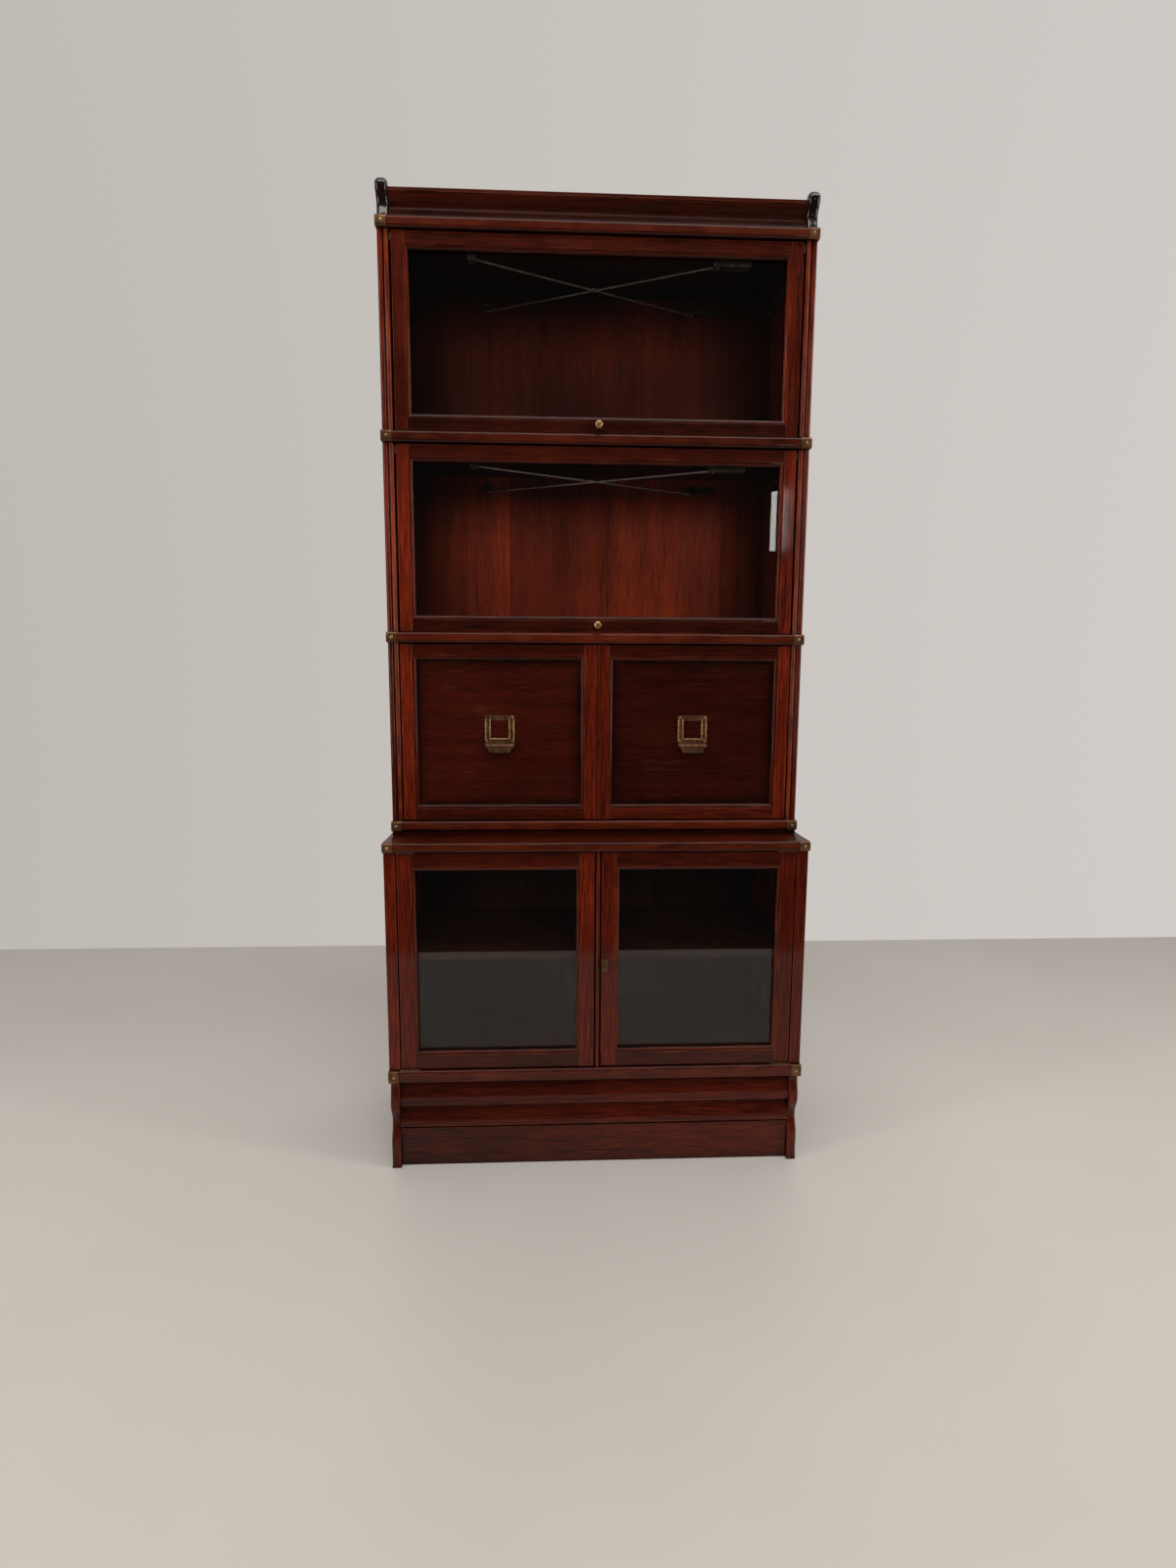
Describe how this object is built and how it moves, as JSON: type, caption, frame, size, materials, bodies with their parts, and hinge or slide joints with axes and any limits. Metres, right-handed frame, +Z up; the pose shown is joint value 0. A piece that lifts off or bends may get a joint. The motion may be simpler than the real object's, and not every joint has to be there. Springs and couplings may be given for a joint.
{
  "type": "barrister bookcase",
  "caption": "Stacking bookcase with lift-up glazed doors that run back over the shelves, file drawers, a glazed cupboard under a ledge, a moulded plinth and a coved cornice.",
  "frame": {"origin": "on the floor, at the centre of the whole case's width and depth", "axes": "+Z up, front faces -Y, +X to the right seen from the front"},
  "size_m": [0.878, 0.39, 1.988],
  "materials": {
    "polished_wood": "french polished mahogany, glossy",
    "inner_wood": "stained mahogany, satin",
    "panel_wood": "stained mahogany with an open grain, satin",
    "glass": "clear polished sheet glass",
    "brass": "aged brass",
    "steel": "dull steel"
  },
  "bodies": {
    "case": {"plinth_ends": "polished_wood", "plinth_front": "polished_wood", "plinth_back": "inner_wood", "plinth_top": "polished_wood", "cupboard_end_left": "polished_wood", "cupboard_end_right": "polished_wood", "cupboard_floor": "inner_wood", "cupboard_back": "inner_wood", "cupboard_muntin": "polished_wood", "cupboard_shelf": "inner_wood", "shelf_pegs": "brass", "ledge": "polished_wood", "drawer_case_ends": "polished_wood", "drawer_case_floor": "polished_wood", "drawer_case_back": "inner_wood", "drawer_partition": "inner_wood", "drawer_runners": "inner_wood", "middle_ends": "polished_wood", "middle_floor": "polished_wood", "middle_back": "inner_wood", "top_ends": "polished_wood", "top_floor": "polished_wood", "top_back": "inner_wood", "door_tracks": "steel", "arm_brackets": "steel", "cornice_top": "polished_wood", "cornice_board": "polished_wood", "cornice_ends": "polished_wood", "corner_brasses": "brass", "corner_screws": "brass", "pivot_plates": "brass"},
    "left_door": {"left_door_frame": "polished_wood", "left_door_glass": "glass", "left_door_plates": "brass"},
    "right_door": {"right_door_frame": "polished_wood", "right_door_glass": "glass", "right_door_plates": "brass", "catch_plate": "brass"},
    "catch": {"turn_catch": "brass"},
    "left_drawer": {"left_drawer_frame": "polished_wood", "left_drawer_panel": "panel_wood", "left_drawer_box": "inner_wood", "left_drawer_pull": "brass"},
    "right_drawer": {"right_drawer_frame": "polished_wood", "right_drawer_panel": "panel_wood", "right_drawer_box": "inner_wood", "right_drawer_pull": "brass"},
    "middle_door": {"middle_door_frame": "polished_wood", "middle_door_glass": "glass", "middle_door_knob": "brass"},
    "middle_carrier": {"middle_carrier": "steel"},
    "middle_arm_a": {"middle_arm_a": "steel"},
    "middle_arm_b": {"middle_arm_b": "steel"},
    "top_door": {"top_door_frame": "polished_wood", "top_door_glass": "glass", "top_door_knob": "brass"},
    "top_carrier": {"top_carrier": "steel"},
    "top_arm_a": {"top_arm_a": "steel"},
    "top_arm_b": {"top_arm_b": "steel"}
  },
  "joints": [
    {"name": "left_door_hinge", "type": "hinge", "parent": "case", "child": "left_door", "pos_m": [-0.4036, -0.175, 0.45625], "axis": [0, 0, -1], "range_deg": [0, 105]},
    {"name": "right_door_hinge", "type": "hinge", "parent": "case", "child": "right_door", "pos_m": [0.4036, -0.175, 0.45625], "axis": [0, 0, 1], "range_deg": [0, 105]},
    {"name": "catch_turn", "type": "hinge", "parent": "right_door", "child": "catch", "pos_m": [0.0147, -0.18, 0.447], "axis": [0, 1, 0], "range_deg": [0, 90]},
    {"name": "left_drawer_slide", "type": "slide", "parent": "case", "child": "left_drawer", "axis": [0, -1, 0], "range_m": [0, 0.2]},
    {"name": "right_drawer_slide", "type": "slide", "parent": "case", "child": "right_drawer", "axis": [0, -1, 0], "range_m": [0, 0.2]},
    {"name": "middle_door_run_back", "type": "slide", "parent": "case", "child": "middle_carrier", "axis": [0, 1, 0], "range_m": [0, 0.23]},
    {"name": "middle_door_lift", "type": "hinge", "parent": "middle_carrier", "child": "middle_door", "pos_m": [0, -0.0895, 1.49225], "axis": [-1, 0, 0], "range_deg": [0, 90]},
    {"name": "middle_arm_a_fold", "type": "hinge", "parent": "case", "child": "middle_arm_a", "pos_m": [-0.24, 0.1745, 1.4675], "axis": [0, 0, 1], "range_deg": [0, 26.1]},
    {"name": "middle_arm_b_fold", "type": "hinge", "parent": "middle_carrier", "child": "middle_arm_b", "pos_m": [-0.252, -0.0615, 1.4675], "axis": [0, 0, -1], "range_deg": [0, 26.1]},
    {"name": "top_door_run_back", "type": "slide", "parent": "case", "child": "top_carrier", "axis": [0, 1, 0], "range_m": [0, 0.23]},
    {"name": "top_door_lift", "type": "hinge", "parent": "top_carrier", "child": "top_door", "pos_m": [0, -0.0895, 1.88625], "axis": [-1, 0, 0], "range_deg": [0, 90]},
    {"name": "top_arm_a_fold", "type": "hinge", "parent": "case", "child": "top_arm_a", "pos_m": [-0.24, 0.1745, 1.8615], "axis": [0, 0, 1], "range_deg": [0, 26.1]},
    {"name": "top_arm_b_fold", "type": "hinge", "parent": "top_carrier", "child": "top_arm_b", "pos_m": [-0.252, -0.0615, 1.8615], "axis": [0, 0, -1], "range_deg": [0, 26.1]}
  ],
  "couplings": [
    {"joint": "middle_arm_a_fold", "follows": "middle_door_run_back", "rad_per_m": 1.9575},
    {"joint": "middle_arm_b_fold", "follows": "middle_door_run_back", "rad_per_m": 1.9575},
    {"joint": "top_arm_a_fold", "follows": "top_door_run_back", "rad_per_m": 1.9575},
    {"joint": "top_arm_b_fold", "follows": "top_door_run_back", "rad_per_m": 1.9575}
  ]
}
